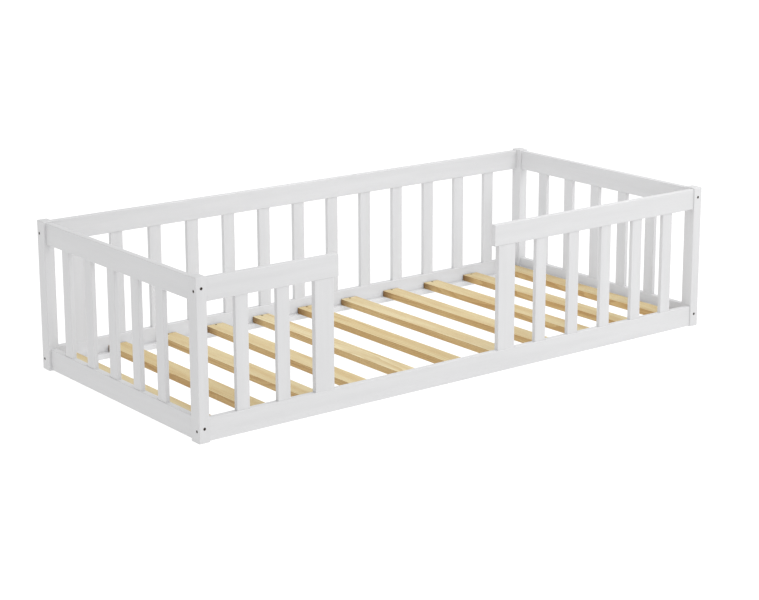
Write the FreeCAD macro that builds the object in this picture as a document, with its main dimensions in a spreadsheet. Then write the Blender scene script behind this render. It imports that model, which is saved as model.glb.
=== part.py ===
import FreeCAD, Part
import os
import Sketcher

# Low wooden floor bed for a small child: four corner posts, panels of flat rails and
# spindles on all sides, a doorway in the front panel, and a slatted base on two cleats.
# +X runs along the bed, -Y is the front with the doorway, +Z is up. The origin is on the
# floor under the middle of the bed. All sizes are in millimetres.

Vector = FreeCAD.Vector
Rotation = FreeCAD.Rotation
Placement = FreeCAD.Placement

ROUGH = 9.0  # a sketch is drawn at this rough size, and its constraints then set the real one
NEARLY_ZERO = 1e-6

doc = FreeCAD.newDocument("toddler_bed")
sheet = doc.addObject("Spreadsheet::Sheet", "Sizes")

DIMENSIONS = [
    ("bed_length", 2056, "outside, over the corner posts"),
    ("bed_depth", 954, "outside, over the corner posts"),
    ("post_tall", 495, "floor to the top of a corner post"),
    ("post_wide", 36, "corner post, along the bed"),
    ("post_deep", 45, "corner post, front to back"),
    ("post_round", 2.5, "rounding on a post's edges"),
    ("rail_tall", 70, "height of every rail"),
    ("rail_thick", 20, "thickness of every rail"),
    ("rail_round", 2, "rounding on a rail's long edges"),
    ("rail_lift", 2, "bottom rails clear the floor"),
    ("rail_top_z", 490, "top edge of the top rails"),
    ("long_recess", 4, "long rails behind the posts' outer faces"),
    ("end_recess", 8, "end rails behind the posts' outer faces"),
    ("spindle_wide", 45, "flat spindle, across its face"),
    ("spindle_thick", 15, "flat spindle, through the panel"),
    ("spindle_round", 2, "rounding on a spindle's edges"),
    ("tenon_wide", 35, "stub tenon on a spindle"),
    ("tenon_thick", 8, "stub tenon, through the panel"),
    ("tenon_long", 10, "how far a tenon enters a rail"),
    ("mortise_play", 0.25, "room round a tenon on each side"),
    ("mortise_spare", 0.5, "room past the end of a tenon"),
    ("back_first", 72, "left post to the first back spindle"),
    ("back_pitch", 146, "back spindle to the next"),
    ("back_count", 13, "back spindles"),
    ("guard_gap", 99, "corner post to the first guard spindle"),
    ("guard_pitch", 145, "guard spindle to the next"),
    ("guard_left_count", 2, "spindles in the left guard"),
    ("guard_right_count", 5, "spindles in the right guard"),
    ("guard_left_long", 466, "top rail of the left guard"),
    ("guard_right_long", 902, "top rail of the right guard"),
    ("door_post_wide", 70, "post at each side of the doorway"),
    ("door_post_thick", 18, "door post, through the panel"),
    ("door_tenon_wide", 56, "stub tenon on a door post"),
    ("door_overhang", 17, "guard rail past its door post"),
    ("end_last_gap", 95, "back post to the nearest end spindle"),
    ("end_pitch", 142, "end spindle to the next"),
    ("end_count", 5, "spindles in each end panel"),
    ("slat_wide", 68, "slat, along the bed"),
    ("slat_long", 900, "slat, front to back"),
    ("slat_thick", 22, "slat"),
    ("slat_round", 1, "rounding on a slat's long edges"),
    ("slat_pitch", 191, "slat to the next"),
    ("slat_count", 11, "slats"),
    ("slat_first", 37, "outside of the left end to the first slat"),
    ("cleat_deep", 20, "cleat, out from its rail"),
    ("cleat_tall", 18, "cleat height"),
    ("cleat_inset", 2, "cleat's end from the post"),
    ("cleat_round", 1.5, "rounding on a cleat's edges"),
    ("bolt_thread", 6, "bolt shank diameter"),
    ("bolt_bore", 6.5, "bore for a bolt shank"),
    ("bolt_head", 9, "bolt head diameter"),
    ("bolt_head_tall", 6, "bolt head height"),
    ("bolt_head_bore", 9.4, "bore for a bolt head"),
    ("bolt_head_sink", 6.4, "depth of that bore"),
    ("bolt_key", 4, "hexagon socket, across its flats"),
    ("bolt_key_deep", 3.5, "hexagon socket depth"),
    ("bolt_in_rail", 20, "how far a bolt reaches into a rail"),
    ("long_bolt_rise", -2, "long rail bolt above the rail's middle"),
    ("end_bolt_rise", 6, "end rail bolt above the rail's middle"),
    ("nut_diameter", 10, "insert nut, glued into the end grain of a rail"),
    ("nut_long", 15, "insert nut"),
    ("nut_sink", 0.5, "insert nut below the rail's end"),
    ("nut_bore", 10.2, "bore for an insert nut"),
    ("nut_thread", 6.1, "hole through an insert nut"),
    ("nut_slot_wide", 1.4, "screwdriver slot across an insert nut"),
    ("nut_slot_deep", 1.5, "depth of that slot"),
    ("dowel_diameter", 8, "locating dowel"),
    ("dowel_bore", 8.1, "bore for a dowel"),
    ("dowel_rise", 24, "dowel above the rail's middle"),
    ("dowel_in_post", 15, "dowel length in the post"),
    ("dowel_in_rail", 20, "dowel length in the rail"),
    ("dowel_chamfer", 1, "bevel on a dowel's ends"),
    ("dowel_spare", 0.5, "room past a dowel's ends"),
    ("screw_shank", 3.9, "wood screw shank"),
    ("screw_bore", 4, "bore for a wood screw"),
    ("screw_head", 8.4, "wood screw head diameter"),
    ("screw_head_tall", 2.6, "wood screw head height"),
    ("screw_head_bore", 8.8, "bore for a screw head"),
    ("screw_head_sink", 3.2, "depth of that bore"),
    ("screw_cross_long", 4.4, "cross recess in a screw head"),
    ("screw_cross_wide", 1.1, "width of one arm of the recess"),
    ("screw_cross_deep", 1.6, "depth of the recess"),
    ("slat_screw_inset", 8, "slat screw from the slat's end"),
    ("slat_screw_bite", 14, "slat screw into the cleat"),
    ("cleat_screw_bite", 12, "cleat screw into the rail"),
    ("cleat_screw_shift", 20, "cleat screw beside the slat screw above it"),
]

for row, (alias, value, note) in enumerate(DIMENSIONS, start=1):
    sheet.set(f"A{row}", alias)
    sheet.set(f"B{row}", str(value))
    sheet.set(f"C{row}", note)
    sheet.setAlias(f"B{row}", alias)
doc.recompute()


def size(alias):
    """The number in one cell of the sheet."""
    return float(sheet.get(alias))


def cells(formula):
    """A formula in plain cell names, such as "rail_tall / 2", as an expression on the sheet."""
    words = formula.replace("(", " ( ").replace(")", " ) ").split()
    return " ".join(f"Sizes.{word}" if word[0].isalpha() else word for word in words)


# Places that several pieces share, as formulas on the sheet.
RAIL_MIDDLES = ("rail_lift + rail_tall / 2", "rail_top_z - rail_tall / 2")
PANEL_GAP = "rail_top_z - 2 * rail_tall - rail_lift"
LONG_RAIL = "bed_length - 2 * post_wide"
END_RAIL = "bed_depth - 2 * post_deep"
LONG_BOLT_Y = "long_recess + rail_thick / 2"
END_BOLT_X = "end_recess + rail_thick / 2"
TENON_SIDE = "(spindle_wide - tenon_wide) / 2"
FRONT_Y = "-1 * bed_depth / 2"
LEFT_X = "-1 * bed_length / 2"
LOW_GAP_Z = "rail_lift + rail_tall"
CLEAT_LONG = f"{LONG_RAIL} - 2 * cleat_inset"
FIRST_SLAT_SCREW = "slat_first + slat_wide / 2"
FIRST_CLEAT_SCREW = f"{FIRST_SLAT_SCREW} + cleat_screw_shift"


# ---- Sketch and feature helpers -------------------------------------------------------


def origin_feature(body, role):
    """One of a body's own origin planes or axes."""
    return next(f for f in body.Origin.OriginFeatures if f.Role == role)


def new_body(label, position, turn=0):
    """An empty body with its corner at a position given as three formulas, turned about Z."""
    body = doc.addObject("PartDesign::Body", label)
    body.Label = label
    body.Placement = Placement(Vector(), Rotation(Vector(0, 0, 1), turn))
    for axis, formula in zip("xyz", position):
        body.setExpression(f"Placement.Base.{axis}", cells(formula))
    return body


def new_sketch(body, role, distance="0"):
    """A sketch on an origin plane, moved along +X, +Y or +Z by a distance."""
    sketch = body.newObject("Sketcher::SketchObject", f"{body.Name}_sketch")
    sketch.AttachmentSupport = [(origin_feature(body, role), "")]
    sketch.MapMode = "FlatFace"
    # The XZ plane faces -Y, so a move along +Y is a negative offset.
    sign = "-1" if role == "XZ_Plane" else "1"
    sketch.setExpression("AttachmentOffset.Base.z", cells(f"{sign} * ( {distance} )"))
    return sketch


def bind(sketch, constraint, formula):
    """Adds one dimension to a sketch and binds it to the sheet."""
    index = sketch.addConstraint(constraint)
    sketch.setExpression(f"Constraints[{index}]", cells(formula))


def rectangle(sketch, across, up, wide, tall):
    """A rectangle whose lower left corner is (across, up) in the sketch."""
    corners = [Vector(x * ROUGH, y * ROUGH, 0) for x, y in ((0, 0), (1, 0), (1, 1), (0, 1))]
    first = sketch.GeometryCount
    for i in range(4):
        sketch.addGeometry(Part.LineSegment(corners[i], corners[(i + 1) % 4]))
    for i in range(4):
        joined = (first + i, 2, first + (i + 1) % 4, 1)
        sketch.addConstraint(Sketcher.Constraint("Coincident", *joined))
    for i, direction in enumerate(("Horizontal", "Vertical", "Horizontal", "Vertical")):
        sketch.addConstraint(Sketcher.Constraint(direction, first + i))
    bind(sketch, Sketcher.Constraint("DistanceX", first, 1, first, 2, ROUGH), wide)
    bind(sketch, Sketcher.Constraint("DistanceY", first + 1, 1, first + 1, 2, ROUGH), tall)
    bind(sketch, Sketcher.Constraint("DistanceX", -1, 1, first, 1, 0.0), across)
    bind(sketch, Sketcher.Constraint("DistanceY", -1, 1, first, 1, 0.0), up)


def circle(sketch, across, up, diameter):
    """A circle centred on (across, up) in the sketch."""
    index = sketch.addGeometry(Part.Circle(Vector(ROUGH, ROUGH, 0), Vector(0, 0, 1), ROUGH / 2))
    bind(sketch, Sketcher.Constraint("Diameter", index, ROUGH), diameter)
    bind(sketch, Sketcher.Constraint("DistanceX", -1, 1, index, 3, ROUGH), across)
    bind(sketch, Sketcher.Constraint("DistanceY", -1, 1, index, 3, ROUGH), up)


def pad(body, sketch, length):
    """Solid stock from a sketch."""
    feature = body.newObject("PartDesign::Pad", f"{body.Name}_stock")
    feature.Profile = sketch
    feature.setExpression("Length", cells(length))
    doc.recompute()
    return feature


def cut(body, sketch, depth):
    """A pocket that goes to one depth on both sides of its sketch."""
    feature = body.newObject("PartDesign::Pocket", f"{body.Name}_cut")
    feature.Profile = sketch
    feature.SideType = "Symmetric"
    feature.setExpression("Length", cells(f"2 * ( {depth} )"))
    return feature


def repeat(body, feature, role, pitch, count):
    """Repeats one cut along an origin axis."""
    pattern = body.newObject("PartDesign::LinearPattern", f"{body.Name}_row")
    pattern.Originals = [feature]
    pattern.Direction = (origin_feature(body, role), [""])
    pattern.setExpression("Length", cells(f"( {pitch} ) * ( {count} - 1 )"))
    pattern.setExpression("Occurrences", cells(count))
    body.Tip = pattern


def round_edges(body, feature, radius, wanted):
    """Rounds the straight edges of a feature whose direction passes the test."""
    names = []
    for number, edge in enumerate(feature.Shape.Edges, start=1):
        ends = [v.Point for v in edge.Vertexes]
        if wanted(ends[1] - ends[0], ends):
            names.append(f"Edge{number}")
    rounded = body.newObject("PartDesign::Fillet", f"{body.Name}_round")
    rounded.Base = (feature, names)
    rounded.setExpression("Radius", cells(radius))


def along(axis):
    """Passes edges that run along one axis: 0 for X, 1 for Y, 2 for Z."""
    others = [k for k in range(3) if k != axis]
    return lambda run, ends: all(abs(run[k]) < NEARLY_ZERO for k in others)


# ---- Corner posts ----------------------------------------------------------------------


def upright_or_top(run, ends):
    """Passes a post's four upright edges and the four edges round its top."""
    upright = abs(run[2]) > 1
    return upright or min(end[2] for end in ends) > 1


def corner_post(label, position, outer_x, inner_x, turn=0):
    """A post with bores for two long rail bolts and two end rail bolts, and for their dowels."""
    post = new_body(label, position, turn)
    section = new_sketch(post, "XY_Plane")
    rectangle(section, "0", "0", "post_wide", "post_deep")
    stock = pad(post, section, "post_tall")
    round_edges(post, stock, "post_round", upright_or_top)
    along_bed = ("YZ_Plane", LONG_BOLT_Y, "long_bolt_rise", outer_x, inner_x)
    across_bed = ("XZ_Plane", END_BOLT_X, "end_bolt_rise", "0", "post_deep")
    for role, across, rise, outside, inside in (along_bed, across_bed):
        drilled = (
            ("bolt_bore", rise, outside, "2 * post_deep"),
            ("bolt_head_bore", rise, outside, "bolt_head_sink"),
            ("dowel_bore", "dowel_rise", inside, "dowel_in_post + dowel_spare"),
        )
        for diameter, height, face, depth in drilled:
            drill = new_sketch(post, role, face)
            for middle in RAIL_MIDDLES:
                circle(drill, across, f"{middle} + {height}", diameter)
            cut(post, drill, depth)
    return post


corner_post("post_front_left", (LEFT_X, FRONT_Y, "0"), "0", "post_wide")
corner_post("post_back_right", ("bed_length / 2", "bed_depth / 2", "0"), "0", "post_wide", 180)
corner_post("post_front_right", ("bed_length / 2 - post_wide", FRONT_Y, "0"), "post_wide", "0")
corner_post(
    "post_back_left", (f"{LEFT_X} + post_wide", "bed_depth / 2", "0"), "post_wide", "0", 180
)


# ---- Rails -----------------------------------------------------------------------------


def rail(label, position, length, rise, bolted_ends, mortises, turn=0):
    """A flat rail along its own X. Its bolted ends are drilled for a bolt, its insert nut and
    a dowel, and its mortises are (edge height, first tenon, pitch, count, tenon width)."""
    body = new_body(label, position, turn)
    section = new_sketch(body, "YZ_Plane")
    rectangle(section, "0", "0", "rail_thick", "rail_tall")
    stock = pad(body, section, length)
    round_edges(body, stock, "rail_round", along(0))
    for end in bolted_ends:
        drilled = (
            ("bolt_bore", rise, "bolt_in_rail + dowel_spare"),
            ("nut_bore", rise, "nut_sink + nut_long"),
            ("dowel_bore", "dowel_rise", "dowel_in_rail + dowel_spare"),
        )
        for diameter, height, depth in drilled:
            drill = new_sketch(body, "YZ_Plane", end)
            circle(drill, "rail_thick / 2", f"rail_tall / 2 + {height}", diameter)
            cut(body, drill, depth)
    for edge_height, first, pitch, count, tenon in mortises:
        mouth = new_sketch(body, "XY_Plane", edge_height)
        wide = f"{tenon} + 2 * mortise_play"
        thick = "tenon_thick + 2 * mortise_play"
        low = "( rail_thick - tenon_thick ) / 2 - mortise_play"
        rectangle(mouth, f"{first} - mortise_play", low, wide, thick)
        mortise = cut(body, mouth, "tenon_long + mortise_spare")
        if count:
            repeat(body, mortise, "X_Axis", pitch, count)
    return body


UNDERSIDE = "0"
TOP_EDGE = "rail_tall"
TOP_RAIL_Z = "rail_top_z - rail_tall"
BOTH_ENDS_LONG = ("0", LONG_RAIL)
BOTH_ENDS_SHORT = ("0", END_RAIL)
AFTER_LEFT_POST = f"{LEFT_X} + post_wide"
BACK_RAIL_Y = "bed_depth / 2 - long_recess - rail_thick"
FRONT_RAIL_Y = f"{FRONT_Y} + long_recess"

back_row = (f"back_first + {TENON_SIDE}", "back_pitch", "back_count", "tenon_wide")
for label, edge_height, z in (
    ("rail_back_top", UNDERSIDE, TOP_RAIL_Z),
    ("rail_back_bottom", TOP_EDGE, "rail_lift"),
):
    back_rail = rail(
        label,
        (AFTER_LEFT_POST, BACK_RAIL_Y, z),
        LONG_RAIL,
        "long_bolt_rise",
        BOTH_ENDS_LONG,
        [(edge_height, *back_row)],
    )

# Along the front, places are measured from the left post's inner face.
GUARD_RIGHT_START = f"( {LONG_RAIL} - guard_right_long )"
LEFT_DOOR_POST = "guard_left_long - door_overhang - door_post_wide"
RIGHT_DOOR_POST = f"{GUARD_RIGHT_START} + door_overhang"
RIGHT_ROW = f"{LONG_RAIL} - guard_gap - spindle_wide - guard_pitch * ( guard_right_count - 1 )"
DOOR_TENON_SIDE = "( door_post_wide - door_tenon_wide ) / 2"


def front_mortises(edge_height, start, which):
    """The mortises of one guard or of both, for a rail that starts at a given place."""
    left_row = f"guard_gap + {TENON_SIDE} - {start}"
    right_row = f"{RIGHT_ROW} + {TENON_SIDE} - {start}"
    left_door = f"{LEFT_DOOR_POST} + {DOOR_TENON_SIDE} - {start}"
    right_door = f"{RIGHT_DOOR_POST} + {DOOR_TENON_SIDE} - {start}"
    found = {
        "left": [
            (edge_height, left_row, "guard_pitch", "guard_left_count", "tenon_wide"),
            (edge_height, left_door, None, None, "door_tenon_wide"),
        ],
        "right": [
            (edge_height, right_row, "guard_pitch", "guard_right_count", "tenon_wide"),
            (edge_height, right_door, None, None, "door_tenon_wide"),
        ],
    }
    return [mortise for side in which for mortise in found[side]]


front_rail = rail(
    "rail_front_bottom",
    (AFTER_LEFT_POST, FRONT_RAIL_Y, "rail_lift"),
    LONG_RAIL,
    "long_bolt_rise",
    BOTH_ENDS_LONG,
    front_mortises(TOP_EDGE, "0", ("left", "right")),
)
rail(
    "guard_rail_left",
    (AFTER_LEFT_POST, FRONT_RAIL_Y, TOP_RAIL_Z),
    "guard_left_long",
    "long_bolt_rise",
    ["0"],
    front_mortises(UNDERSIDE, "0", ("left",)),
)
rail(
    "guard_rail_right",
    (f"{AFTER_LEFT_POST} + {GUARD_RIGHT_START}", FRONT_RAIL_Y, TOP_RAIL_Z),
    "guard_right_long",
    "long_bolt_rise",
    ["guard_right_long"],
    front_mortises(UNDERSIDE, GUARD_RIGHT_START, ("right",)),
)

# An end rail is turned, so its own X runs front to back and its own Y points to -X.
END_ROW = f"{END_RAIL} - end_last_gap - spindle_wide - end_pitch * ( end_count - 1 )"
end_row = (f"{END_ROW} + {TENON_SIDE}", "end_pitch", "end_count", "tenon_wide")
END_RAIL_XS = (
    ("left", f"{LEFT_X} + end_recess + rail_thick"),
    ("right", "bed_length / 2 - end_recess"),
)
for side, rail_x in END_RAIL_XS:
    for level, edge_height, z in (
        ("top", UNDERSIDE, TOP_RAIL_Z),
        ("bottom", TOP_EDGE, "rail_lift"),
    ):
        rail(
            f"rail_{side}_{level}",
            (rail_x, f"{FRONT_Y} + post_deep", z),
            END_RAIL,
            "end_bolt_rise",
            BOTH_ENDS_SHORT,
            [(edge_height, *end_row)],
            90,
        )


# ---- Spindles and door posts -------------------------------------------------------------


def upright(label, position, wide, thick, tenon, turn=0):
    """A flat upright between two rails, with a stub tenon at each end."""
    body = new_body(label, position, turn)
    section = new_sketch(body, "XY_Plane")
    rectangle(section, "0", "0", wide, thick)
    stock = pad(body, section, PANEL_GAP)
    round_edges(body, stock, "spindle_round", along(2))
    core = new_sketch(body, "XY_Plane", "-1 * tenon_long")
    across = f"( {wide} - {tenon} ) / 2"
    through = f"( {thick} - tenon_thick ) / 2"
    rectangle(core, across, through, tenon, "tenon_thick")
    pad(body, core, f"{PANEL_GAP} + 2 * tenon_long")
    return body


SPINDLE_IN_RAIL = "( rail_thick - spindle_thick ) / 2"
DOOR_POST_IN_RAIL = "( rail_thick - door_post_thick ) / 2"


def spindle_row(label, first, pitch, count, y):
    """A row of spindles along the bed, one body each."""
    for i in range(int(size(count))):
        place = (f"{AFTER_LEFT_POST} + {first} + {i} * {pitch}", y, LOW_GAP_Z)
        upright(label.format(i + 1), place, "spindle_wide", "spindle_thick", "tenon_wide")


front_spindle_y = f"{FRONT_RAIL_Y} + {SPINDLE_IN_RAIL}"
back_spindle_y = f"{BACK_RAIL_Y} + {SPINDLE_IN_RAIL}"
spindle_row("spindle_back_{:02d}", "back_first", "back_pitch", "back_count", back_spindle_y)
spindle_row(
    "spindle_guard_left_{}", "guard_gap", "guard_pitch", "guard_left_count", front_spindle_y
)
spindle_row(
    "spindle_guard_right_{}", RIGHT_ROW, "guard_pitch", "guard_right_count", front_spindle_y
)

for side, start in (("left", LEFT_DOOR_POST), ("right", RIGHT_DOOR_POST)):
    place = (f"{AFTER_LEFT_POST} + {start}", f"{FRONT_RAIL_Y} + {DOOR_POST_IN_RAIL}", LOW_GAP_Z)
    upright(f"door_post_{side}", place, "door_post_wide", "door_post_thick", "door_tenon_wide")


# ---- Slats and the cleats they rest on ---------------------------------------------------

SLAT_Z = "rail_lift + cleat_tall"
SLAT_Y = "-1 * slat_long / 2"


def slat(number):
    """A slat across the bed, with a screw bore and a sunk seat for its head at each end."""
    x = f"{LEFT_X} + slat_first + {number - 1} * slat_pitch"
    body = new_body(f"slat_{number:02d}", (x, SLAT_Y, SLAT_Z))
    section = new_sketch(body, "XY_Plane")
    rectangle(section, "0", "0", "slat_wide", "slat_long")
    stock = pad(body, section, "slat_thick")
    round_edges(body, stock, "slat_round", along(1))
    for diameter, depth in (
        ("screw_bore", "slat_thick * 2"),
        ("screw_head_bore", "screw_head_sink"),
    ):
        drill = new_sketch(body, "XY_Plane", "slat_thick")
        circle(drill, "slat_wide / 2", "slat_screw_inset", diameter)
        circle(drill, "slat_wide / 2", "slat_long - slat_screw_inset", diameter)
        cut(body, drill, depth)


for number in range(1, int(size("slat_count")) + 1):
    slat(number)

# Screw places along a cleat or a long rail, from the start of that piece.
CLEAT_START = "post_wide + cleat_inset"
CLEAT_SCREW_Z = "cleat_tall / 2"
FRONT_CLEAT_Y = f"{FRONT_Y} + long_recess + rail_thick"
BACK_CLEAT_Y = f"{BACK_RAIL_Y} - cleat_deep"
SLAT_SCREW_Y = "slat_long / 2 - slat_screw_inset"


def cleat(label, y, screw_face, slat_screw_y):
    """A square strip along a long rail, bored for its own screws and for the slats' screws."""
    body = new_body(label, (f"{LEFT_X} + {CLEAT_START}", y, "rail_lift"))
    section = new_sketch(body, "YZ_Plane")
    rectangle(section, "0", "0", "cleat_deep", "cleat_tall")
    stock = pad(body, section, CLEAT_LONG)
    round_edges(body, stock, "cleat_round", along(0))
    for diameter, depth in (
        ("screw_bore", "cleat_deep * 2"),
        ("screw_head_bore", "screw_head_sink"),
    ):
        drill = new_sketch(body, "XZ_Plane", screw_face)
        circle(drill, f"{FIRST_CLEAT_SCREW} - ( {CLEAT_START} )", CLEAT_SCREW_Z, diameter)
        repeat(body, cut(body, drill, depth), "X_Axis", "slat_pitch", "slat_count")
    pilot = new_sketch(body, "XY_Plane", "cleat_tall")
    circle(pilot, f"{FIRST_SLAT_SCREW} - ( {CLEAT_START} )", slat_screw_y, "screw_bore")
    pilot_hole = cut(body, pilot, "slat_screw_bite + dowel_spare")
    repeat(body, pilot_hole, "X_Axis", "slat_pitch", "slat_count")


cleat("cleat_front", FRONT_CLEAT_Y, "cleat_deep", f"-1 * ( {SLAT_SCREW_Y} ) - ( {FRONT_CLEAT_Y} )")
cleat("cleat_back", BACK_CLEAT_Y, "0", f"{SLAT_SCREW_Y} - ( {BACK_CLEAT_Y} )")

# The long bottom rails take the ends of the cleat screws.
for body, face in ((front_rail, "rail_thick"), (back_rail, "0")):
    pilot = new_sketch(body, "XZ_Plane", face)
    circle(pilot, f"{FIRST_CLEAT_SCREW} - post_wide", CLEAT_SCREW_Z, "screw_bore")
    pilot_hole = cut(body, pilot, "cleat_screw_bite + dowel_spare")
    repeat(body, pilot_hole, "X_Axis", "slat_pitch", "slat_count")
doc.recompute()


# ---- Fasteners ---------------------------------------------------------------------------
# Each kind is modelled once along +Z from its head, and copied to its places as a group.


def solid(kind, name, position=("0", "0", "0"), **formulas):
    """A Part primitive with its sizes and place bound to the sheet."""
    shape = doc.addObject(kind, name)
    for prop, formula in formulas.items():
        shape.setExpression(prop, cells(formula))
    for axis, formula in zip("xyz", position):
        shape.setExpression(f"Placement.Base.{axis}", cells(formula))
    return shape


def combine(kind, name, base, tool):
    """A Part::Cut or Part::Fuse of two objects."""
    result = doc.addObject(kind, name)
    if kind == "Part::Cut":
        result.Base = base
        result.Tool = tool
    else:
        result.Shapes = [base, tool]
    return result


def head_and_shank(name, head_wide, head_tall, shank_wide, length):
    """Two cylinders from the same end: a wide short head, and a shank that goes on past it."""
    head = solid("Part::Cylinder", f"{name}_head", Radius=f"{head_wide} / 2", Height=head_tall)
    whole = f"{length} + {head_tall}"
    shank = solid("Part::Cylinder", f"{name}_shank", Radius=f"{shank_wide} / 2", Height=whole)
    return head, shank


def bolt(name, length):
    """A bolt with a small round head and a hexagon socket."""
    head, shank = head_and_shank(name, "bolt_head", "bolt_head_tall", "bolt_thread", length)
    socket = solid("Part::Prism", f"{name}_socket", Height="bolt_key_deep")
    socket.Polygon = 6
    # A hexagon's corners are 1 / sqrt(3) of its width across the flats from its middle.
    socket.setExpression("Circumradius", "Sizes.bolt_key / sqrt(3)")
    blank = combine("Part::MultiFuse", f"{name}_blank", head, shank)
    return combine("Part::Cut", name, blank, socket)


def screw(name, length):
    """A wood screw with a flat round head and a cross recess."""
    head, shank = head_and_shank(name, "screw_head", "screw_head_tall", "screw_shank", length)
    arms = []
    for arm, (wide, deep) in (
        ("x", ("screw_cross_long", "screw_cross_wide")),
        ("y", ("screw_cross_wide", "screw_cross_long")),
    ):
        corner = (f"-1 * {wide} / 2", f"-1 * {deep} / 2", "0")
        box = {"Length": wide, "Width": deep, "Height": "screw_cross_deep"}
        arms.append(solid("Part::Box", f"{name}_arm_{arm}", corner, **box))
    blank = combine("Part::MultiFuse", f"{name}_blank", head, shank)
    recess = combine("Part::MultiFuse", f"{name}_recess", *arms)
    return combine("Part::Cut", name, blank, recess)


def insert_nut():
    """A sleeve with a hole from end to end and a screwdriver slot across its outer end."""
    sleeve = solid("Part::Cylinder", "nut_sleeve", Radius="nut_diameter / 2", Height="nut_long")
    hole = solid("Part::Cylinder", "nut_hole", Radius="nut_thread / 2", Height="nut_long")
    slot_corner = ("-1 * nut_diameter", "-1 * nut_slot_wide / 2", "0")
    slot_box = {"Length": "2 * nut_diameter", "Width": "nut_slot_wide", "Height": "nut_slot_deep"}
    slot = solid("Part::Box", "nut_slot", slot_corner, **slot_box)
    holes = combine("Part::MultiFuse", "nut_holes", hole, slot)
    return combine("Part::Cut", "insert_nut", sleeve, holes)


def dowel():
    """A round dowel with beveled ends, partly in a post and partly in a rail."""
    whole = "dowel_in_post + dowel_in_rail"
    rod = solid("Part::Cylinder", "dowel_rod", Radius="dowel_diameter / 2", Height=whole)
    doc.recompute()
    bevel = doc.addObject("Part::Chamfer", "dowel")
    bevel.Base = rod
    rims = [i for i, edge in enumerate(rod.Shape.Edges, start=1) if len(edge.Vertexes) == 1]
    bevel.Edges = [(i, size("dowel_chamfer"), size("dowel_chamfer")) for i in rims]
    return bevel


def group(label, master, places):
    """Copies of one fastener at many placements, as one node of separate solids."""
    node = doc.addObject("Part::Feature", label)
    node.Label = label
    copies = []
    for place in places:
        copy = master.Shape.copy()
        copy.Placement = place.multiply(master.Placement)
        copies.append(copy)
    node.Shape = Part.makeCompound(copies)


def aim(point, direction):
    """A placement at a point with its Z along a direction."""
    return Placement(point, Rotation(Vector(0, 0, 1), direction))


half_long = size("bed_length") / 2
half_deep = size("bed_depth") / 2
sink = size("bolt_head_sink") - size("bolt_head_tall")
long_bolt_y = half_deep - size("long_recess") - size("rail_thick") / 2
end_bolt_x = half_long - size("end_recess") - size("rail_thick") / 2
rail_middles = (
    size("rail_lift") + size("rail_tall") / 2,
    size("rail_top_z") - size("rail_tall") / 2,
)
post_face_x = half_long - size("post_wide")
post_face_y = half_deep - size("post_deep")

long_bolts = []
end_bolts = []
nuts = []
dowels = []
for sx in (-1, 1):
    for sy in (-1, 1):
        for middle in rail_middles:
            along_bed = (
                long_bolts,
                Vector(-sx, 0, 0),
                Vector(sx * half_long, sy * long_bolt_y, middle),
                Vector(sx * post_face_x, sy * long_bolt_y, middle),
                size("long_bolt_rise"),
            )
            across_bed = (
                end_bolts,
                Vector(0, -sy, 0),
                Vector(sx * end_bolt_x, sy * half_deep, middle),
                Vector(sx * end_bolt_x, sy * post_face_y, middle),
                size("end_bolt_rise"),
            )
            for bolts, inward, outer_face, rail_end, rise in (along_bed, across_bed):
                up = Vector(0, 0, rise)
                bolts.append(aim(outer_face + up + inward * sink, inward))
                nuts.append(aim(rail_end + up + inward * size("nut_sink"), inward))
                up = Vector(0, 0, size("dowel_rise"))
                dowels.append(aim(rail_end + up - inward * size("dowel_in_post"), inward))

pitch = size("slat_pitch")
first_slat_screw = -half_long + size("slat_first") + size("slat_wide") / 2
slat_top = size("rail_lift") + size("cleat_tall") + size("slat_thick")
head_drop = size("screw_head_sink") - size("screw_head_tall")
cleat_face_y = half_deep - size("long_recess") - size("rail_thick") - size("cleat_deep")
slat_screws = []
cleat_screws = []
for sy in (-1, 1):
    for i in range(int(size("slat_count"))):
        y = sy * (size("slat_long") / 2 - size("slat_screw_inset"))
        top = Vector(first_slat_screw + i * pitch, y, slat_top - head_drop)
        slat_screws.append(aim(top, Vector(0, 0, -1)))
        x = first_slat_screw + i * pitch + size("cleat_screw_shift")
        z = size("rail_lift") + size("cleat_tall") / 2
        cleat_screws.append(aim(Vector(x, sy * (cleat_face_y + head_drop), z), Vector(0, sy, 0)))

long_bolt = bolt("long_bolt", "post_wide - bolt_head_sink + bolt_in_rail")
end_bolt = bolt("end_bolt", "post_deep - bolt_head_sink + bolt_in_rail")
slat_screw = screw("slat_screw", "slat_thick - screw_head_sink + slat_screw_bite")
cleat_screw = screw("cleat_screw", "cleat_deep - screw_head_sink + cleat_screw_bite")
nut = insert_nut()
pin = dowel()
doc.recompute()

group("bolts_long_rails", long_bolt, long_bolts)
group("bolts_end_rails", end_bolt, end_bolts)
group("insert_nuts", nut, nuts)
group("rail_dowels", pin, dowels)
group("slat_screws", slat_screw, slat_screws)
group("cleat_screws", cleat_screw, cleat_screws)

# The spindles of an end panel are turned like the end rails. One is modelled, and each end
# holds its own group of five.
end_spindle = upright(
    "end_spindle", ("0", "0", LOW_GAP_Z), "spindle_wide", "spindle_thick", "tenon_wide", 90
)
doc.recompute()
end_row_long = size("end_pitch") * (size("end_count") - 1) + size("spindle_wide")
end_row_start = post_face_y - size("end_last_gap") - end_row_long
spindle_face = size("end_recess") + (size("rail_thick") - size("spindle_thick")) / 2
for side, x in (
    ("left", -half_long + spindle_face + size("spindle_thick")),
    ("right", half_long - spindle_face),
):
    places = []
    for i in range(int(size("end_count"))):
        places.append(Placement(Vector(x, end_row_start + i * size("end_pitch"), 0), Rotation()))
    group(f"spindles_{side}_end", end_spindle, places)
doc.recompute()


# ---- Check every object and write one file per piece ----------------------------------------

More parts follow.
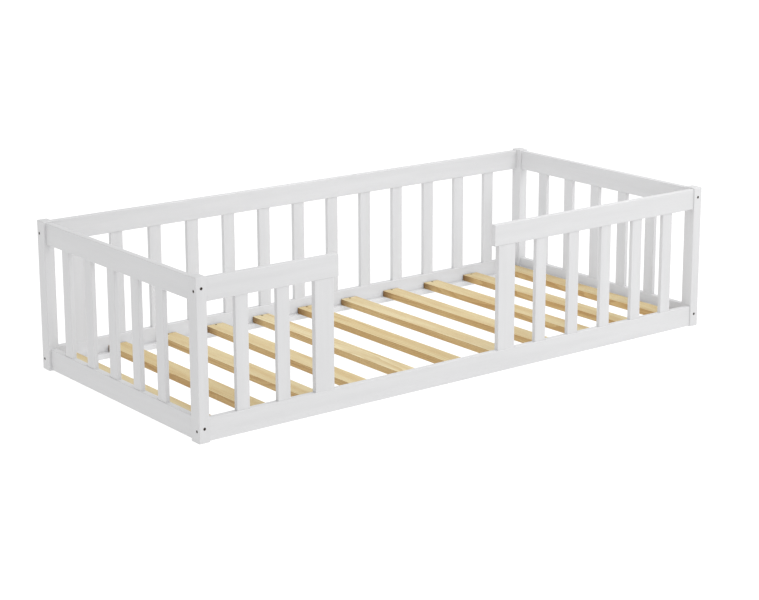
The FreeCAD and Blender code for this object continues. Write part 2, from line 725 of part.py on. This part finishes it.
MASTERS = {"end_spindle"}
pieces = [o for o in doc.Objects if o.TypeId in ("PartDesign::Body", "Part::Feature")]
pieces = [o for o in pieces if o.Label not in MASTERS]
for item in doc.Objects:
    if "Invalid" in item.State or "Error" in item.State:
        raise RuntimeError(f"{item.Name} failed to compute: {item.State}")
for piece in pieces:
    if piece.Shape.isNull() or not piece.Shape.isValid() or not piece.Shape.Solids:
        raise RuntimeError(f"{piece.Label} has no valid shape")

os.makedirs("parts", exist_ok=True)
for piece in pieces:
    piece.Shape.exportStep(f"parts/{piece.Label}.step")
print(len(pieces), "pieces written")
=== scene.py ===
# %% [markdown]
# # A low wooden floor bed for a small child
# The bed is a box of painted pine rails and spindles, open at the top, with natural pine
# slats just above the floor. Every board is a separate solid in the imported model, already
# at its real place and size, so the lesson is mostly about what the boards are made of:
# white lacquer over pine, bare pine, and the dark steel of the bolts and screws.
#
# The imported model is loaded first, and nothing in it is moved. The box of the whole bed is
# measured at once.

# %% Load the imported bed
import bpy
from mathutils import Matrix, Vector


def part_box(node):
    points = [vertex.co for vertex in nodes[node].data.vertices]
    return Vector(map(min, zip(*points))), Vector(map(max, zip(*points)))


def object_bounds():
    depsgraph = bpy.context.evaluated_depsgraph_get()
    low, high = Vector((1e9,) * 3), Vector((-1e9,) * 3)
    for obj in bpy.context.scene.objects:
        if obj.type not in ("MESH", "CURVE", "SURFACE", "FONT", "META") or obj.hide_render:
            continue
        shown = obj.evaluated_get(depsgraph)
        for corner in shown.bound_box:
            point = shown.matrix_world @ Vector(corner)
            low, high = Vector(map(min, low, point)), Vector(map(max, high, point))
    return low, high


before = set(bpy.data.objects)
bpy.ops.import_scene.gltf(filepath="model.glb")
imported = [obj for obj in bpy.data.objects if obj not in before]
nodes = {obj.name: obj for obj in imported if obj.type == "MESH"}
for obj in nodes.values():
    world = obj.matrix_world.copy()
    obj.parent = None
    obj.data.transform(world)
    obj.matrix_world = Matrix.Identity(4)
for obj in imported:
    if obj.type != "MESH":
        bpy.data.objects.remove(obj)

cad_low, cad_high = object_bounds()
size = cad_high - cad_low
print("bed, in metres:", [round(length, 4) for length in size], "in", len(nodes), "nodes")

# %% [markdown]
# ## Tools for colours and nodes
# Colours are picked as hex values, the way a paint chart gives them. Those are sRGB, but a
# shader works in linear light, so one function turns one into the other.
#
# A material is a tree of nodes. Each node is made the same way: create it, set some values,
# and feed some of its inputs from other nodes. One small function does all three, and
# returns the node, so that the lines of a material read like a recipe. A colour ramp also
# takes its stops that way, each one a place from 0 to 1 and a hex colour.

# %% Colours and nodes
from math import cos, pi, radians, sin

import bpy
from mathutils import Vector

MM = 0.001


def linear(hex_colour):
    """An sRGB hex colour as linear red, green, blue and alpha."""
    channels = [int(hex_colour[i:i + 2], 16) / 255 for i in (1, 3, 5)]
    curve = [c / 12.92 if c <= 0.04045 else ((c + 0.055) / 1.055) ** 2.4 for c in channels]
    return (*curve, 1.0)


def add(tree, kind, settings=None, links=None, stops=()):
    """Adds a node. Settings are its properties or input values, links feed its inputs, and
    stops are the places and colours of a colour ramp."""
    node = tree.nodes.new("ShaderNode" + kind)
    for name, value in (settings or {}).items():
        if isinstance(name, str) and hasattr(node, name):
            setattr(node, name, value)
        else:
            node.inputs[name].default_value = value
    for name, output in (links or {}).items():
        tree.links.new(output, node.inputs[name])
    for index, (position, colour) in enumerate(stops):
        node.color_ramp.elements[index].position = position
        node.color_ramp.elements[index].color = linear(colour)
    return node


def new_material(name):
    """An empty material, with its node tree and its output node."""
    material = bpy.data.materials.new(name)
    material.use_nodes = True
    material.node_tree.nodes.clear()
    output = add(material.node_tree, "OutputMaterial")
    return material, material.node_tree, output


print("white card in linear light:", [round(c, 3) for c in linear("#DCDCDA")])

# %% [markdown]
# ## The grain of a pine board
# A board is cut from a log, so its grain is part of a set of long, nearly round cylinders,
# one for each year. In each year the pale early wood turns slowly to the dark late wood,
# and then jumps back to pale. A wave texture of rings with a saw profile has just that
# rise and jump, once its axis is laid along the board.
#
# The centre of the log is far outside a thin board, so the rings are moved sideways by a
# different amount for each board. Object Info gives every board its own random number,
# made from its name, so that it is the same on each run. A slow noise bends the rings, and
# the board's length is squeezed before the noise, because a tree changes slowly upwards.

# %% Rings, fibres and broad streaks
RING = 4.2 * MM            # a year's growth: real pine has 2 to 4 mm, but finer rings would blur
FIBRE = 1.1 * MM           # streak width: real fibres are far finer, and are drawn coarser to show
WAVE_PERIOD = 2 * pi / 20  # the wave texture's ring spacing at a scale of 1
LOG_SHIFT = (0.31, 0.27, 0.37)  # metres, the furthest that a board's rings are moved
RING_SWING = 0.055         # metres: the slow noise bends the rings by up to half of this each way
BENDS = (9, 1.1)           # bends in a metre, across and along the grain: 110 mm by 900 mm
STREAKS = (34, 2.6)        # broad streaks in a metre, across and along: 30 mm by 380 mm
FIBRES_ALONG = 14          # fibre streaks in a metre along the grain: 70 mm each


def squeeze(axis, across, along):
    """A scale for texture space: one number across the grain and one along it."""
    return [along if k == axis else across for k in range(3)]


def pine_grain(tree, axis):
    """Nodes for the grain of a board that runs along an axis: rings, fibres and streaks."""
    place = add(tree, "TexCoord").outputs["Object"]
    board = add(tree, "ObjectInfo").outputs["Random"]
    shift = add(tree, "VectorMath", {"operation": "SCALE", 0: LOG_SHIFT}, {"Scale": board})
    shifted = add(tree, "VectorMath", {"operation": "ADD"}, {0: place, 1: shift.outputs[0]})
    slow_scale = {"Scale": squeeze(axis, *BENDS)}
    slow = add(tree, "Mapping", slow_scale, {"Vector": shifted.outputs[0]})
    bend = add(tree, "TexNoise", {"Scale": 1.0, "Detail": 2.0}, {"Vector": slow.outputs[0]})
    middle = {"operation": "SUBTRACT", 1: (0.5, 0.5, 0.5)}
    centred = add(tree, "VectorMath", middle, {0: bend.outputs["Color"]})
    swing_size = {"operation": "SCALE", "Scale": RING_SWING}
    swing = add(tree, "VectorMath", swing_size, {0: centred.outputs[0]})
    both = {0: shifted.outputs[0], 1: swing.outputs[0]}
    bent = add(tree, "VectorMath", {"operation": "ADD"}, both)
    rings = add(
        tree, "TexWave",
        {"wave_type": "RINGS", "rings_direction": "XYZ"[axis], "wave_profile": "SAW",
         "Scale": WAVE_PERIOD / RING, "Distortion": 0.6, "Detail": 2.0, "Detail Scale": 0.4},
        {"Vector": bent.outputs[0]},
    )
    thin_scale = {"Scale": squeeze(axis, 1 / FIBRE, FIBRES_ALONG)}
    thin = add(tree, "Mapping", thin_scale, {"Vector": bent.outputs[0]})
    fine = {"Scale": 1.0, "Detail": 3.0, "Roughness": 0.6}
    fibres = add(tree, "TexNoise", fine, {"Vector": thin.outputs[0]})
    wide_scale = {"Scale": squeeze(axis, *STREAKS)}
    wide = add(tree, "Mapping", wide_scale, {"Vector": shifted.outputs[0]})
    streaks = add(tree, "TexNoise", {"Scale": 1.0, "Detail": 2.0}, {"Vector": wide.outputs[0]})
    return rings.outputs["Fac"], fibres.outputs["Fac"], streaks.outputs["Fac"], board


print("one ring every", round(RING / MM, 1), "mm, fibres", round(FIBRE / MM, 1), "mm wide")

# %% [markdown]
# ## Bare pine for the slats
# The slats are planed pine with a clear matt finish. Two things make them look like wood
# and not like yellow plastic. The rings run from pale straw to a warmer tan. Each board has
# its own tone, because boards come from different trees. The narrow sides are painted
# darker and more orange than the top, as painted shade, and the last few centimetres of a
# side, in the corners where the slats meet the rails, are painted darkest of all, as painted
# shade.
#
# One more thing is done for the paint beside them. Light that bounces off the slats would
# tint the white rails beige, and a studio balances that away, to keep white paint white.
# Light Path tells a bounced ray from a seen one: the board that is seen is pine, and a ray
# on its way to the paint finds a neutral board, paler than the pine, which also lifts the
# shade on the low rails close beside the slats.

# %% Clear matt pine
SLAT_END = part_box("slat_06")[1].y
END_SHADE_LONG = 70 * MM    # how far the painted shade at a slat's ends reaches along a side
MULTIPLY = {"data_type": "RGBA", "blend_type": "MULTIPLY"}


def slat_pine():
    """Planed pine with a clear matt finish, its grain along Y."""
    material, tree, output = new_material("clear_matt_pine")
    rings, fibres, streaks, board = pine_grain(tree, 1)
    straw_to_tan = ((0.15, "#E7DCB6"), (0.95, "#D3BF92"))
    tone = add(tree, "ValToRGB", links={"Fac": rings}, stops=straw_to_tan)
    fibre_shades = ((0.3, "#E2D8C2"), (0.6, "#FFFFFF"))
    fibre_tone = add(tree, "ValToRGB", links={"Fac": fibres}, stops=fibre_shades)
    grain = {6: tone.outputs[0], 7: fibre_tone.outputs[0]}
    wood = add(tree, "Mix", {**MULTIPLY, 0: 0.5}, grain)
    streak_shades = ((0.35, "#EBDAC0"), (0.6, "#FFFFFF"))
    streak_tone = add(tree, "ValToRGB", links={"Fac": streaks}, stops=streak_shades)
    streaky = {6: wood.outputs[2], 7: streak_tone.outputs[0]}
    streaked = add(tree, "Mix", {**MULTIPLY, 0: 0.6}, streaky)
    board_shades = ((0.0, "#F6F0E2"), (1.0, "#FFFFFF"))
    own_tone = add(tree, "ValToRGB", links={"Fac": board}, stops=board_shades)
    own = {6: streaked.outputs[2], 7: own_tone.outputs[0]}
    toned = add(tree, "Mix", {**MULTIPLY, 0: 1.0}, own)

    # Painted shade: faces that stand steeper than the top are multiplied darker and more orange.
    normal = add(tree, "NewGeometry").outputs["True Normal"]
    facing = add(tree, "SeparateXYZ", links={0: normal})
    upright = add(tree, "Math", {"operation": "ABSOLUTE"}, {0: facing.outputs["Z"]})
    steep = {"From Min": 0.75, "From Max": 0.35, "To Min": 0.0, "To Max": 1.0}
    side = add(tree, "MapRange", steep, {"Value": upright.outputs[0]})
    sides = {0: side.outputs[0], 6: toned.outputs[2]}
    side_shaded_wood = add(tree, "Mix", {**MULTIPLY, 7: linear("#E5D0B0")}, sides)

    # Painted shade: towards a slat's ends, where it meets the rails, its sides are multiplied
    # darker still.
    place = add(tree, "SeparateXYZ", links={0: add(tree, "TexCoord").outputs["Object"]})
    along = add(tree, "Math", {"operation": "ABSOLUTE"}, {0: place.outputs["Y"]})
    last_part = {"From Min": SLAT_END - END_SHADE_LONG, "From Max": SLAT_END}
    near_end = add(tree, "MapRange", last_part, {"Value": along.outputs[0]})
    side_end = {0: near_end.outputs[0], 1: side.outputs[0]}
    painted_end_shade = add(tree, "Math", {"operation": "MULTIPLY"}, side_end)
    ends = {0: painted_end_shade.outputs[0], 6: side_shaded_wood.outputs[2]}
    end_shaded_wood = add(tree, "Mix", {**MULTIPLY, 7: linear("#B3A290")}, ends)

    bounced = add(tree, "LightPath").outputs["Is Diffuse Ray"]
    pale_board = {"data_type": "RGBA", 7: linear("#ECECEC")}
    colour = add(tree, "Mix", pale_board, {0: bounced, 6: end_shaded_wood.outputs[2]})

    matt = {"From Min": 0.3, "From Max": 0.7, "To Min": 0.5, "To Max": 0.66}
    sheen = add(tree, "MapRange", matt, {"Value": fibres})
    relief = add(tree, "Math", {"operation": "MULTIPLY_ADD", 1: 0.35}, {0: rings, 2: fibres})
    planed = {"Strength": 0.35, "Distance": 0.12 * MM}
    bump = add(tree, "Bump", planed, {"Height": relief.outputs[0]})
    surface = {
        "Base Color": colour.outputs[2],
        "Roughness": sheen.outputs[0],
        "Normal": bump.outputs[0],
    }
    shader = add(tree, "BsdfPrincipled", {"IOR": 1.5}, surface)
    tree.links.new(shader.outputs[0], output.inputs["Surface"])
    return material


pine = slat_pine()
print("made", pine.name)

# %% [markdown]
# ## White lacquer over pine
# The posts, rails and spindles are sprayed with a satin white lacquer. It hides the colour
# of the wood, but not all of its relief: the hard late wood stands up a few hundredths of a
# millimetre, so a low light shows the grain as faint lines. The lacquer itself is a smooth
# film with a soft highlight and an IOR of about 1.5. It is a touch thinner, and so a touch
# greyer, over some of the broad streaks and in the valleys between the fibres.
#
# The grain of a board runs along its length, so the same recipe is made three times: along
# X for the long rails, along Y for the end rails, and along Z for posts and spindles.

# %% Satin white lacquer, one for each grain direction
def white_lacquer(axis):
    """Satin white lacquer over a pine board that runs along an axis."""
    material, tree, output = new_material(f"satin_white_lacquer_grain_{'xyz'[axis]}")
    rings, fibres, streaks, _ = pine_grain(tree, axis)
    film_shades = ((0.35, "#D3D3D4"), (0.65, "#D7D7D8"))
    film = add(tree, "ValToRGB", links={"Fac": streaks}, stops=film_shades)
    valley_shades = ((0.3, "#FAFAF9"), (0.55, "#FFFFFF"))
    valley = add(tree, "ValToRGB", links={"Fac": fibres}, stops=valley_shades)
    coats = {6: film.outputs[0], 7: valley.outputs[0]}
    paint = add(tree, "Mix", {**MULTIPLY, 0: 0.5}, coats)
    satin = {"From Min": 0.3, "From Max": 0.7, "To Min": 0.36, "To Max": 0.46}
    sheen = add(tree, "MapRange", satin, {"Value": streaks})
    relief = add(tree, "Math", {"operation": "MULTIPLY_ADD", 1: 0.5}, {0: rings, 2: fibres})
    filled = {"Strength": 0.15, "Distance": 0.06 * MM}
    bump = add(tree, "Bump", filled, {"Height": relief.outputs[0]})
    surface = {
        "Base Color": paint.outputs[2],
        "Roughness": sheen.outputs[0],
        "Normal": bump.outputs[0],
    }
    shader = add(tree, "BsdfPrincipled", {"IOR": 1.5}, surface)
    tree.links.new(shader.outputs[0], output.inputs["Surface"])
    return material


lacquer = [white_lacquer(axis) for axis in range(3)]
print("made", [material.name for material in lacquer])

# %% [markdown]
# ## Steel fittings
# The corner bolts are bronzed steel: a thin brown-black film on metal, which still shines
# like metal where the light catches its rim. The wood screws are phosphated, which is
# blacker and rougher, because the film is made of tiny crystals. The insert nuts are zinc
# plated. A metal keeps the shader's default IOR: its look comes from its colour, from
# metallic at 1, and from how rough the surface is. Real crystals are far too fine to see on
# a head this small, so each film is mottled at half a millimetre to a millimetre and a half.

# %% Bronzed, phosphated and zinc-plated steel
ROUGHNESS_SPREAD = 0.08


def plated_steel(name, dark, pale, rough, mottle):
    """Metal with a film that varies in colour and roughness over patches of a given size."""
    material, tree, output = new_material(name)
    place = add(tree, "TexCoord").outputs["Object"]
    patches = {"Scale": 1 / mottle, "Detail": 4.0, "Roughness": 0.65}
    film = add(tree, "TexNoise", patches, {"Vector": place}).outputs["Fac"]
    tone = add(tree, "ValToRGB", links={"Fac": film}, stops=((0.3, dark), (0.7, pale)))
    low, high = rough - ROUGHNESS_SPREAD, rough + ROUGHNESS_SPREAD
    satin = {"From Min": 0.3, "From Max": 0.7, "To Min": low, "To Max": high}
    sheen = add(tree, "MapRange", satin, {"Value": film})
    bump = add(tree, "Bump", {"Strength": 0.2, "Distance": 0.03 * MM}, {"Height": film})
    surface = {
        "Base Color": tone.outputs[0],
        "Roughness": sheen.outputs[0],
        "Normal": bump.outputs[0],
    }
    shader = add(tree, "BsdfPrincipled", {"Metallic": 1.0}, surface)
    tree.links.new(shader.outputs[0], output.inputs["Surface"])
    return material


bronzed_steel = plated_steel("bronzed_steel", "#3D3733", "#544C46", 0.38, 0.9 * MM)
phosphated_steel = plated_steel("phosphated_steel", "#241F1A", "#3A322A", 0.5, 0.5 * MM)
zinc_steel = plated_steel("zinc_plated_steel", "#A9ACAE", "#C4C7C9", 0.3, 1.5 * MM)
print("made", bronzed_steel.name, phosphated_steel.name, zinc_steel.name)

# %% [markdown]
# ## Beech dowels
# The dowels that keep the rails from turning are beech. It is harder and pinker than pine,
# and it has no bold rings, only many short dark flecks, so a fine noise with a narrow ramp
# is enough. They are hidden inside the joints, but a part that is taken apart shows them.

# %% Turned beech
FLECK = 1 / 420          # metres, so about 2.4 mm: beech's flecks are 1 to 4 mm long


def turned_beech():
    """Plain beech with short flecks along the dowels."""
    material, tree, output = new_material("turned_beech")
    place = add(tree, "TexCoord").outputs["Object"]
    flecks = {"Scale": 1 / FLECK, "Detail": 2.0}
    fine = add(tree, "TexNoise", flecks, {"Vector": place}).outputs["Fac"]
    beech_shades = ((0.38, "#B98F63"), (0.55, "#D7B48A"))
    tone = add(tree, "ValToRGB", links={"Fac": fine}, stops=beech_shades)
    bump = add(tree, "Bump", {"Strength": 0.2, "Distance": 0.1 * MM}, {"Height": fine})
    surface = {"Base Color": tone.outputs[0], "Normal": bump.outputs[0]}
    shader = add(tree, "BsdfPrincipled", {"IOR": 1.5, "Roughness": 0.6}, surface)
    tree.links.new(shader.outputs[0], output.inputs["Surface"])
    return material


beech = turned_beech()
print("made", beech.name)

# %% [markdown]
# ## Give every board its finish
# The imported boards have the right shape, with their eased edges, so they stay and only
# change material. The grain direction of a board is the direction in which it is longest.
# That is measured from its box, except for a group of spindles, where the group is wider
# than one spindle is long, so those are named.

# %% Assign the finishes
FITTINGS = {
    "bolts_long_rails": bronzed_steel,
    "bolts_end_rails": bronzed_steel,
    "slat_screws": phosphated_steel,
    "cleat_screws": phosphated_steel,
    "insert_nuts": zinc_steel,
    "rail_dowels": beech,
}


def board_axis(name):
    """The axis a board runs along: 0, 1 or 2."""
    if name.startswith("spindles"):
        return 2
    low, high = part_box(name)
    lengths = list(high - low)
    return lengths.index(max(lengths))


for name, board in nodes.items():
    if name in FITTINGS:
        finish = FITTINGS[name]
    elif name.startswith("slat"):
        finish = pine
    else:
        finish = lacquer[board_axis(name)]
    board.data.materials.clear()
    board.data.materials.append(finish)

finishes = [board.data.materials[0] for board in nodes.values()]
print("painted boards along X, Y, Z:", [finishes.count(paint) for paint in lacquer])

# %% [markdown]
# ## A white sheet, lit from below
# A studio stands white furniture on a white sheet that glows a little, so that no grey
# shadow lies between the slats. Here the floor is one large face with some light of its
# own. It lies a fraction of a millimetre under the posts, so that no two faces share a
# plane.

# %% The floor
SHEET = 80.0             # metres square, so that its edge is never near the bed
SHEET_DROP = 0.4 * MM
SHEET_GLOW = 0.88        # with the lamps' light on it as well, the sheet is just over pure white

corners = [(x * SHEET / 2, y * SHEET / 2, 0) for x, y in ((-1, -1), (1, -1), (1, 1), (-1, 1))]
floor_mesh = bpy.data.meshes.new("floor")
floor_mesh.from_pydata(corners, [], [(0, 1, 2, 3)])
floor = bpy.data.objects.new("floor", floor_mesh)
floor.location.z = cad_low.z - SHEET_DROP
bpy.context.scene.collection.objects.link(floor)

sheet, tree, output = new_material("lit_white_sheet")
glowing_cloth = {
    "Base Color": linear("#8C8C8C"),
    "Roughness": 0.9,
    "Specular IOR Level": 0.0,
    "Emission Color": linear("#FFFFFF"),
    "Emission Strength": SHEET_GLOW,
}
shader = add(tree, "BsdfPrincipled", glowing_cloth)
tree.links.new(shader.outputs[0], output.inputs["Surface"])
floor_mesh.materials.append(sheet)
print("floor", round(floor.location.z / MM, 2), "mm from the origin's height")

# %% [markdown]
# ## A white room
# The room is an even white all round, which is what makes the light soft. A camera ray that
# misses everything sees it as white as the sheet, so there is no horizon. Every other ray
# finds it a little dimmer, as if the walls were further off: that keeps the tops of the
# rails from burning out, while the sheet lights the upright faces from below.

# %% The room
ROOM_LIGHT = 0.68

room = bpy.data.worlds.new("white_room")
room.use_nodes = True
seen = add(room.node_tree, "LightPath").outputs["Is Camera Ray"]
dim_to_full = {"To Min": ROOM_LIGHT, "To Max": 1.0}
strength = add(room.node_tree, "MapRange", dim_to_full, {"Value": seen})
background = room.node_tree.nodes["Background"]
background.inputs["Color"].default_value = linear("#FFFFFF")
room.node_tree.links.new(strength.outputs[0], background.inputs["Strength"])
bpy.context.scene.world = room
print("the room lights the bed at", ROOM_LIGHT, "of white")

# %% [markdown]
# ## Three softboxes
# The key light is a sun lamp with a very wide angle, which acts as a big softbox in front
# and overhead: the long front faces are brighter than the left ends, and nothing throws a
# hard shadow. A softbox over the bed tips towards the right end, to light the slats and the
# inside of that end. A third one stands in front on the right, so that the front grows
# slightly brighter from left to right. A sun lamp's energy is in watts per square metre, and
# an area lamp's is in watts.

# %% Lamps
def softbox(name, kind, energy, place, aim, **shape):
    """A lamp at a place, turned to an aim, with its size or angle given by name."""
    lamp = bpy.data.lights.new(name, kind)
    lamp.energy = energy
    for setting, value in shape.items():
        setattr(lamp, setting, value)
    box = bpy.data.objects.new(name, lamp)
    box.location = place
    box.rotation_mode = "QUATERNION"
    box.rotation_quaternion = (Vector(place) - Vector(aim)).to_track_quat("Z", "Y")
    box.visible_camera = False
    bpy.context.scene.collection.objects.link(box)


wide_sun = {"angle": radians(55)}
long_box = {"shape": "RECTANGLE", "size": 2.4, "size_y": 0.7}
square_box = {"shape": "SQUARE", "size": 1.2}
softbox("key_softbox", "SUN", 0.80, (0.9, -2.2, 3.3), (0, 0, 0), **wide_sun)
softbox("overhead_softbox", "AREA", 11.0, (-0.2, -0.1, 1.9), (1.2, 0.0, 0.1), **long_box)
softbox("side_softbox", "AREA", 14.0, (1.9, -1.3, 2.2), (0.6, -0.2, 0.2), **square_box)
print("lamps:", [lamp.name for lamp in bpy.data.lights])

# %% [markdown]
# ## The camera
# The bed is seen from its left front corner, a little above, with a long lens, so that the
# far end is only slightly smaller than the near one. Standard colour keeps white paint
# white: the filmic views would turn it grey.

# %% Camera and colour view
SENSOR = 36.0            # millimetres wide
LENS = 91.256917         # millimetres

lens = bpy.data.cameras.new("camera")
lens.sensor_width = SENSOR
lens.lens = LENS
lens.shift_x = -0.033
lens.shift_y = -0.079
camera = bpy.data.objects.new("camera", lens)
camera.location = (-3.8029, -4.9810, 1.8463)
yaw, pitch = radians(38.038), radians(-13.28)
looking = Vector((sin(yaw) * cos(pitch), cos(yaw) * cos(pitch), sin(pitch)))
camera.rotation_mode = "QUATERNION"
camera.rotation_quaternion = looking.to_track_quat("-Z", "Y")
bpy.context.scene.collection.objects.link(camera)
bpy.context.scene.camera = camera
bpy.context.scene.view_settings.view_transform = "Standard"
print("camera is", round(camera.location.length, 2), "m from the middle of the bed")
